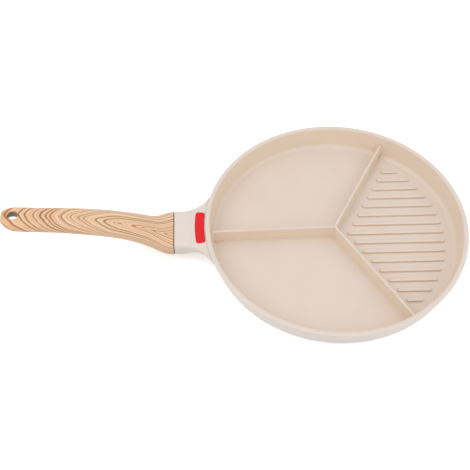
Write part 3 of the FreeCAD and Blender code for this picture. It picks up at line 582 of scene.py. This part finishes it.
def arch_field(finish):
    """The place along the tips where a spot's own ring has its tip, how crowded the arms are
    at the spot, and how far round the handle it lies from the line of the tips."""
    crown, belly, half = handle_profile()
    top = finish.curve(finish.x, crown, HANDLE_SPAN, HANDLE_HEIGHTS)
    bottom = finish.curve(finish.x, belly, HANDLE_SPAN, HANDLE_HEIGHTS)
    reach = finish.curve(finish.x, half, HANDLE_SPAN, HANDLE_HALVES)
    aside = finish.over(finish.y, reach)
    above = finish.over(finish.less(finish.z, finish.middle(top, bottom)),
                        finish.times(finish.less(top, bottom), 0.5))
    turn = finish.sum("DEGREES", finish.sum("ARCTAN2", aside, above))
    tip = finish.through(finish.x, TIP_TURN, HANDLE_SPAN, TIP_TURNS)
    away = finish.sum("ABSOLUTE", finish.wrap(finish.less(turn, tip), WHOLE_TURN))
    away = finish.through(away, BELLY_TURN, HALF_TURN, HALF_TURN)
    run = finish.through(finish.x, ARM_RUN, HANDLE_SPAN, ARM_RUNS)
    bend = finish.through(finish.x, TIP_ROUND, HANDLE_SPAN, TIP_ROUNDS)
    arm = finish.times(away, run)
    slant = finish.length(arm, bend)
    # The more steeply the arms run along the handle, the closer they lie side by side.
    steepness = finish.over(finish.times(finish.over(arm, slant),
                                         finish.times(run, DEGREES_IN_RADIAN)), reach)
    place = finish.scale_vector(finish.place, WANDER_STRETCH)
    slow = finish.less(finish.noise(place, SLOW_SCALE, WANDER_DETAIL), NOISE_MIDDLE)
    quick = finish.less(finish.noise(place, QUICK_SCALE, WANDER_DETAIL), NOISE_MIDDLE)
    wander = finish.add(finish.times(slow, SLOW_REACH), finish.times(quick, QUICK_REACH))
    along = finish.add(finish.less(finish.x, finish.less(slant, bend)), wander)
    beside = finish.times(finish.over(away, DEGREES_IN_RADIAN), reach)
    return finish.wrap(along, RING_SPAN), finish.remap(steepness, CROWDED), beside


def wood_tones(finish, along, crowd):
    """The colour of the grain, and how dark its rings are."""
    split = finish.node("ShaderNodeSeparateColor")
    finish.feed(split.inputs[0], finish.blend(crowd, growth(finish, along, RINGS),
                                              growth(finish, along, broad_rings())))
    dark, orange, age = split.outputs
    fine = finish.line_noise(along, HAIR_SCALE, HAIR_DETAIL)
    coarse = finish.line_noise(along, CROWDED_HAIR_SCALE, CROWDED_HAIR_DETAIL)
    hairs = finish.add(finish.times(finish.rest(crowd), fine), finish.times(crowd, coarse))
    fibres = finish.stretched(*FIBRE_NOISE)
    pores = finish.stretched(*PORE_NOISE)
    wood = finish.blend(age, *GROWTH_TONES)
    for share, shade in (
            (finish.remap(finish.x, HONEY_SPAN, HONEY_SHARES), HONEY),
            (finish.remap(fibres, FIBRE_SPAN, FIBRE_SHARES), STRAW),
            (finish.remap(pores, PORE_SPAN, PORE_SHARES), PORE_BROWN),
            (finish.remap(hairs, HAIR_SPAN, HAIR_SHARES), HAIR_BROWN)):
        wood = finish.blend(share, wood, shade)
    uneven = finish.remap(fibres, UNEVEN_SPAN, UNEVEN_SHARES)
    ring_tone = finish.blend(orange, LINE_BROWN, RUST)
    return finish.blend(finish.times(dark, uneven), wood, ring_tone), dark


def add_flecks(finish, wood, beside):
    """Small dark flecks, as ovals that fade at their edge."""
    for place, length, breadth in FLECKS:
        ahead = finish.over(finish.less(finish.x, place), length)
        aside = finish.over(beside, breadth)
        apart = finish.add(finish.times(ahead, ahead), finish.times(aside, aside))
        wood = finish.blend(finish.remap(apart, FLECK_SPAN, FLECK_SHARES), wood, LINE_BROWN)
    return wood


def wood_look():
    """Wood grain printed round the handle: nested arches that open towards the pan."""
    finish = Finish("wood_look", Coat_Weight=0.15, Coat_Roughness=0.2, IOR=1.5)
    along, crowd, beside = arch_field(finish)
    wood, dark = wood_tones(finish, along, crowd)
    wood = add_flecks(finish, wood, beside)
    # The print stops where the surface turns into the hanging hole; the dark brown inside is the
    # bare plastic with painted shade on it.
    from_hole = finish.length(finish.less(finish.x, HANG_X), finish.y)
    plain = finish.remap(from_hole, beyond(HANG_RADIUS, PRINT_FROM_HOLE), FALLING)
    finish.colour(finish.blend(plain, wood, HOLE_BROWN_AND_SHADE))
    finish.rough(finish.remap(dark, RISING, WOOD_ROUGH))
    skin = use(finish, SKIN, Place=finish.place, Pimple_Size=0.5, Drift_Size=20.0)
    finish.raise_skin(finish.less(finish.times(skin["Pimples"], WOOD_PIMPLES),
                                  finish.times(dark, RING_SUNK)), WOOD_RELIEF)
    return finish.material


# The small pieces: span of roughness, depth of relief, how much an edge shows, and tones.
# The red's edge share and edge tone are painted shade.
RED_ROUGH, RED_RELIEF, RED_EDGE_SHADE = (0.42, 0.56), 0.02, 0.8
RED_TONES, RED_EDGE_SHADE_TONE = (tone(234, 12, 22), tone(226, 18, 30)), tone(165, 28, 40)
SEAL_ROUGH, SEAL_RELIEF = (0.62, 0.8), 0.04
SEAL_TONES = tone(40, 28, 21), tone(56, 42, 33)
STEEL_ROUGH, STEEL_RELIEF, STEEL_EDGE = (0.24, 0.4), 0.02, 0.6
STEEL_TONES, STEEL_EDGE_TONE = (tone(150, 150, 152), tone(196, 196, 198)), tone(222, 222, 224)


def indicator_red():
    """Heat-sensing red, made darker and duller by painted shade at its edges and in the gap round
    it.
    """
    finish = Finish("indicator_red", IOR=1.42)
    skin = use(finish, SKIN, Place=finish.place, Pimple_Size=0.45, Drift_Size=7.0)
    edges = use(finish, EDGES, Reach=0.7, Hollow_Reach=1.6)
    # Painted shade at the red's edges and in the gap round it.
    rim = finish.either(edges["Edge"], edges["Hollow"])
    drift = finish.remap(skin["Drift"], BOTH_WAYS)
    red = finish.blend(drift, *RED_TONES)
    finish.colour(finish.blend(finish.times(rim, RED_EDGE_SHADE), red, RED_EDGE_SHADE_TONE))
    finish.rough(finish.remap(skin["Pimples"], RISING, RED_ROUGH))
    finish.raise_skin(skin["Pimples"], RED_RELIEF)
    return finish.material


def seal_black():
    """Dark moulded rubber with a faint bloom."""
    finish = Finish("seal_black", IOR=1.5)
    skin = use(finish, SKIN, Place=finish.place, Pimple_Size=0.3, Drift_Size=5.0)
    bloom = finish.remap(skin["Drift"], BOTH_WAYS)
    finish.colour(finish.blend(bloom, *SEAL_TONES))
    finish.rough(finish.remap(skin["Pimples"], RISING, SEAL_ROUGH))
    finish.raise_skin(skin["Pimples"], SEAL_RELIEF)
    return finish.material


def screw_steel():
    """Bright steel with the rings of its turning."""
    finish = Finish("screw_steel", Metallic=1.0)
    turned = use(finish, TURNING, Place=finish.place, Axis_X=SCREW_X, Pitch=0.12)
    edge = use(finish, EDGES, Reach=0.25)["Edge"]
    steel = finish.blend(turned["Rings"], *STEEL_TONES)
    finish.colour(finish.blend(finish.times(edge, STEEL_EDGE), steel, STEEL_EDGE_TONE))
    finish.rough(finish.remap(turned["Rings"], NOISE_SPAN, STEEL_ROUGH))
    finish.raise_skin(turned["Rings"], STEEL_RELIEF)
    return finish.material


FINISHES = (
    (PAN, coated_casting), (INDICATOR, indicator_red), (GASKET, seal_black),
    (HANDLE, wood_look), (SCREW, screw_steel))
for piece, make_finish in FINISHES:
    made = make_finish()
    if not piece.material_slots:
        piece.data.materials.append(made)
    for slot in piece.material_slots:
        slot.material = made


# The surround. The floor lies a hair's breadth under the base, so that the two faces don't
# share one plane. Lengths here are in metres.
FLOOR_GAP, FLOOR_RADIUS, FLOOR_CORNERS = 0.0001, 4.0, 96
WHITE, FLOOR_GREY = (1.0, 1.0, 1.0, 1.0), (0.72, 0.72, 0.72, 1.0)
FLOOR_ROUGH, FLOOR_GLOW = 0.9, 0.42
# How strongly the surround lights the part. Where it is seen, it is plain white.
WORLD_LEVEL = 0.74
# The lamps: name, place and side in metres, and power in watts.
LAMPS = (("key", (-0.9, -0.3, 1.7), 1.6, 8.2), ("fill", (1.1, -0.9, 1.4), 1.8, 5.0))


def make_floor():
    """A plain pale floor that stays white where no shadow falls."""
    mesh = bpy.data.meshes.new("floor")
    shape = bmesh.new()
    bmesh.ops.create_circle(shape, cap_ends=True, segments=FLOOR_CORNERS, radius=FLOOR_RADIUS)
    shape.to_mesh(mesh)
    shape.free()
    floor = bpy.data.objects.new("floor", mesh)
    bpy.context.scene.collection.objects.link(floor)
    material = bpy.data.materials.new("pale_floor")
    material.use_nodes = True
    tree = Tree(material.node_tree)
    shader = material.node_tree.nodes["Principled BSDF"]
    shader.inputs["Roughness"].default_value = FLOOR_ROUGH
    shader.inputs["Specular IOR Level"].default_value = 0.0
    seen = tree.seen()
    tree.feed(shader.inputs["Base Color"], tree.blend(seen, FLOOR_GREY, WHITE))
    shader.inputs["Emission Color"].default_value = WHITE
    tree.feed(shader.inputs["Emission Strength"], tree.times(seen, FLOOR_GLOW))
    mesh.materials.append(material)
    floor.location.z = -FLOOR_GAP


def make_world():
    """Even light from all sides, which looks white where it is seen."""
    world = bpy.data.worlds.new("studio")
    world.use_nodes = True
    bpy.context.scene.world = world
    tree = Tree(world.node_tree)
    surround = world.node_tree.nodes["Background"]
    surround.inputs["Color"].default_value = WHITE
    tree.feed(surround.inputs["Strength"], tree.remap(tree.seen(), RISING, (WORLD_LEVEL, 1.0)))


def make_lamp(name, place, aim, side, power):
    """A large soft square lamp."""
    light = bpy.data.lights.new(name, "AREA")
    light.shape = "SQUARE"
    light.size = side
    light.energy = power
    lamp = bpy.data.objects.new(name, light)
    lamp.location = place
    lamp.rotation_euler = (Vector(aim) - Vector(place)).to_track_quat("-Z", "Y").to_euler()
    bpy.context.scene.collection.objects.link(lamp)


def make_camera():
    """The camera, turned about the upright axis, raised, and rolled about its line of sight."""
    lens = bpy.data.cameras.new("camera")
    lens.lens = LENS
    lens.sensor_width = SENSOR
    lens.clip_start = NEAREST
    camera = bpy.data.objects.new("camera", lens)
    yaw, raised, roll = CAMERA_YAW, CAMERA_ELEVATION, CAMERA_ROLL
    back = Vector((math.sin(yaw) * math.cos(raised), -math.cos(yaw) * math.cos(raised),
                   math.sin(raised)))
    level = Vector((math.cos(yaw), math.sin(yaw), 0.0))
    upright = back.cross(level)
    side = level * math.cos(roll) + upright * math.sin(roll)
    top = upright * math.cos(roll) - level * math.sin(roll)
    turn = Matrix((side, top, back)).transposed().to_4x4()
    camera.matrix_world = Matrix.Translation(CAMERA_PLACE) @ turn
    bpy.context.scene.collection.objects.link(camera)
    bpy.context.scene.camera = camera


make_floor()
make_world()
part_middle = (sum(corner.x for corner in cad_bounds) / 2, 0.0, 0.0)
for name, place, side, power in LAMPS:
    make_lamp(name, place, part_middle, side, power)
make_camera()
bpy.context.scene.view_settings.view_transform = "Standard"
